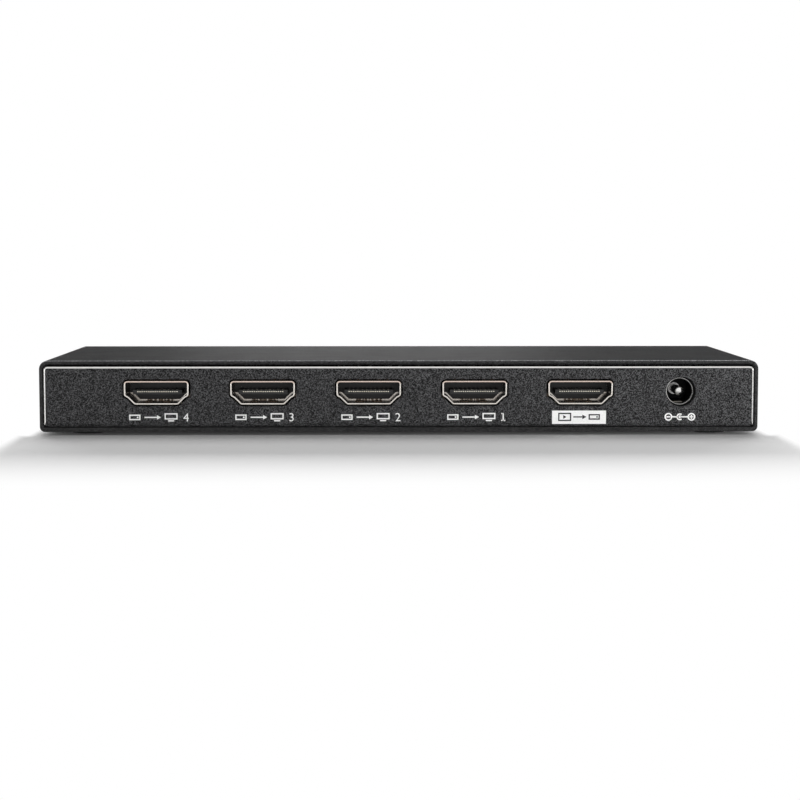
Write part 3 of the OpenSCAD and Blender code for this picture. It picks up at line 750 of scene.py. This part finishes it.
def output_marks():
    """Box, arrow, screen and the output's number under each output socket."""
    spread, off_centre = 13.6 * MM, 0.5 * MM
    for port in OUTPUTS:
        low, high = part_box(f"{port}_shell")
        x = (low.x + high.x) / 2 + off_centre - spread / 2
        parts = box_mark(x)
        parts += arrow(x + 3.5 * MM, 3.8 * MM)
        parts += screen_mark(x + 8.1 * MM)
        digit_x = x + 12.4 * MM
        parts += one(digit_x) if port[-1] == "1" else [number(port[-1], digit_x)]
        printed(f"{port}_mark", parts, WHITE_INK)


def input_mark():
    """A white plate under the input, with a player, an arrow and the box in dark ink."""
    left, right, low, high = 35.05 * MM, 47.46 * MM, 2.59 * MM, 5.67 * MM
    plate = flat_plane((left + right) / 2, (low + high) / 2, right - left, high - low)
    printed("input_plate", [plate], WHITE_INK)
    spread = 9.6 * MM
    x = (left + right) / 2 - spread / 2
    parts = player_mark(x) + arrow(x + 3.5 * MM, 3.0 * MM) + box_mark(x + 7.0 * MM)
    printed("input_mark", parts, DARK_INK, INK_PROUD)


def power_mark():
    """The usual sign for a barrel plug with its positive pole in the middle."""
    low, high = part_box("jack_centre_pin")
    x = (low.x + high.x) / 2 - 0.15 * MM
    reach, ring_r, cup_r, dot_r = 2.65 * MM, 0.9 * MM, 0.8 * MM, 0.34 * MM
    bar = 0.95 * MM
    cup = hollow(flat_disc(x, MARK_Z, cup_r))
    pick(cup)
    edit()
    select_faces(cup, lambda c, n: c.x > x + 0.5 * cup_r)
    bpy.ops.mesh.delete(type="FACE")
    done()
    lead = reach - ring_r
    parts = [cup, flat_disc(x, MARK_Z, dot_r, 20)]
    for side in (-1, 1):
        parts.append(hollow(flat_disc(x + side * reach, MARK_Z, ring_r)))
        parts.append(flat_plane(x + side * reach, MARK_Z, bar, STROKE))
    parts.append(flat_plane(x + reach, MARK_Z, STROKE, bar))
    parts.append(flat_plane(x + lead / 2, MARK_Z, lead, STROKE))
    parts.append(flat_plane(x - (lead + cup_r) / 2 + STROKE / 2, MARK_Z, lead - cup_r + STROKE, STROKE))
    printed("power_mark", parts, WHITE_INK)


outer_sleeve()
folded_tray()
socket_shells()
feet_and_screws()
power_jack()
output_marks()
input_mark()
power_mark()


# Studio

def any_ray(tree, path, *kinds):
    """1 for rays of any of these kinds."""
    rays = [path.outputs[f"Is {kind} Ray"] for kind in kinds]
    total = rays[0]
    for ray in rays[1:]:
        total = calc(tree, "MAXIMUM", total, ray)
    return total


def past(tree, value, limit):
    """How far a value lies past a limit on either side of 0, and 0 within it."""
    return calc(tree, "MAXIMUM", calc(tree, "SUBTRACT", calc(tree, "ABSOLUTE", value), limit), 0)


def floor_finish():
    """White sweep: lit paper near the object, where the shadow falls, and plain white further off."""
    material = bpy.data.materials.new("studio_paper")
    material.use_nodes = True
    tree = material.node_tree
    tree.nodes.remove(tree.nodes["Principled BSDF"])
    paper = tree.nodes.new("ShaderNodeBsdfDiffuse")
    paper.inputs["Color"].default_value = (1, 1, 1, 1)
    lift = tree.nodes.new("ShaderNodeEmission")
    lift.inputs["Strength"].default_value = SHADOW_LIFT
    lit = tree.nodes.new("ShaderNodeAddShader")
    tree.links.new(paper.outputs["BSDF"], lit.inputs[0])
    tree.links.new(lift.outputs["Emission"], lit.inputs[1])
    glow = tree.nodes.new("ShaderNodeEmission")
    x, y = axes(tree, tree.nodes.new("ShaderNodeTexCoord").outputs["Object"])[:2]
    past_end = past(tree, x, cad_high.x)
    gap = tree.nodes.new("ShaderNodeCombineXYZ")
    tree.links.new(calc(tree, "MULTIPLY", past_end, END_FALL), gap.inputs["X"])
    tree.links.new(past(tree, y, cad_high.y), gap.inputs["Y"])
    reach = tree.nodes.new("ShaderNodeVectorMath")
    reach.operation = "LENGTH"
    tree.links.new(gap.outputs["Vector"], reach.inputs[0])
    around = between(tree, reach.outputs["Value"], LIT_PAPER, WHITE_PAPER)
    level_with = between(tree, y, BESIDE_START, BESIDE_FULL)
    beside = calc(tree, "MULTIPLY", between(tree, past_end, 0, END_GAP), level_with)
    path = tree.nodes.new("ShaderNodeLightPath")
    direct = any_ray(tree, path, "Camera", "Glossy", "Transmission")
    seen = calc(tree, "MULTIPLY", calc(tree, "MAXIMUM", around, beside), direct)
    mix = tree.nodes.new("ShaderNodeMixShader")
    tree.links.new(seen, mix.inputs["Fac"])
    tree.links.new(lit.outputs["Shader"], mix.inputs[1])
    tree.links.new(glow.outputs["Emission"], mix.inputs[2])
    tree.links.new(mix.outputs["Shader"], tree.nodes["Material Output"].inputs["Surface"])
    return material


def add_floor():
    start_piece()
    bpy.ops.mesh.primitive_plane_add(size=8)
    floor = bpy.context.object
    floor.name = "studio_floor"
    wear(floor, floor_finish())


def background(tree):
    node = tree.nodes.new("ShaderNodeBackground")
    node.inputs["Color"].default_value = (1, 1, 1, 1)
    return node


def add_world():
    """White behind the object; reflections show it white in front and dim behind, as in a dark-backed room."""
    world = bpy.data.worlds.new("studio_air")
    world.use_nodes = True
    bpy.context.scene.world = world
    tree = world.node_tree
    ambient = tree.nodes["Background"]
    ambient.inputs["Color"].default_value = (1, 1, 1, 1)
    ambient.inputs["Strength"].default_value = AMBIENT
    white = background(tree)
    mirrored = background(tree)
    depth = axes(tree, tree.nodes.new("ShaderNodeTexCoord").outputs["Generated"])[1]
    tree.links.new(between(tree, depth, 0.2, 0.85, MIRROR_FRONT, MIRROR_BACK), mirrored.inputs["Strength"])
    path = tree.nodes.new("ShaderNodeLightPath")
    indirect = tree.nodes.new("ShaderNodeMixShader")
    tree.links.new(any_ray(tree, path, "Glossy", "Transmission"), indirect.inputs["Fac"])
    tree.links.new(ambient.outputs["Background"], indirect.inputs[1])
    tree.links.new(mirrored.outputs["Background"], indirect.inputs[2])
    mix = tree.nodes.new("ShaderNodeMixShader")
    tree.links.new(path.outputs["Is Camera Ray"], mix.inputs["Fac"])
    tree.links.new(indirect.outputs["Shader"], mix.inputs[1])
    tree.links.new(white.outputs["Background"], mix.inputs[2])
    tree.links.new(mix.outputs["Shader"], tree.nodes["World Output"].inputs["Surface"])


def softbox(name, place, size, watts, mirrored=True):
    """A rectangular lamp that faces the middle of the object, shown in reflections or not."""
    bpy.ops.object.light_add(type="AREA", location=place)
    lamp = bpy.context.object
    lamp.name = name
    lamp.data.shape = "RECTANGLE"
    lamp.data.size, lamp.data.size_y = size
    lamp.data.energy = watts
    lamp.rotation_euler = (-Vector(place)).to_track_quat("-Z", "Y").to_euler()
    lamp.visible_camera = False
    lamp.visible_glossy = mirrored


def add_camera():
    tilt = (math.pi / 2 - CAMERA_PITCH, 0, -CAMERA_YAW)
    bpy.ops.object.camera_add(location=CAMERA_PLACE, rotation=tilt)
    camera = bpy.context.object
    camera.data.lens = CAMERA_LENS
    camera.data.clip_start = 0.01
    bpy.context.scene.camera = camera


add_floor()
add_world()
softbox("wall_softbox", (0, 0.95, 0.31), (1.4, 0.3), 14.2, False)
softbox("overhead_softbox", (0, 0.5, 0.8), (0.9, 0.6), 2.6, False)
softbox("back_softbox", (-0.01, 0.42, 0.1), (0.16, 0.1), 0.074)
softbox("front_softbox", (0.1, -0.6, 0.02), (0.4, 0.03), 1.2, False)
softbox("near_softbox", (0.17, -0.16, 0.015), (0.1, 0.024), 0.13, False)
for side in (-1, 1):
    softbox(f"end_softbox_{side}", (side * 0.6, -0.15, 0.08), (0.45, 0.2), 0.7)
add_camera()
bpy.context.scene.view_settings.view_transform = "Standard"
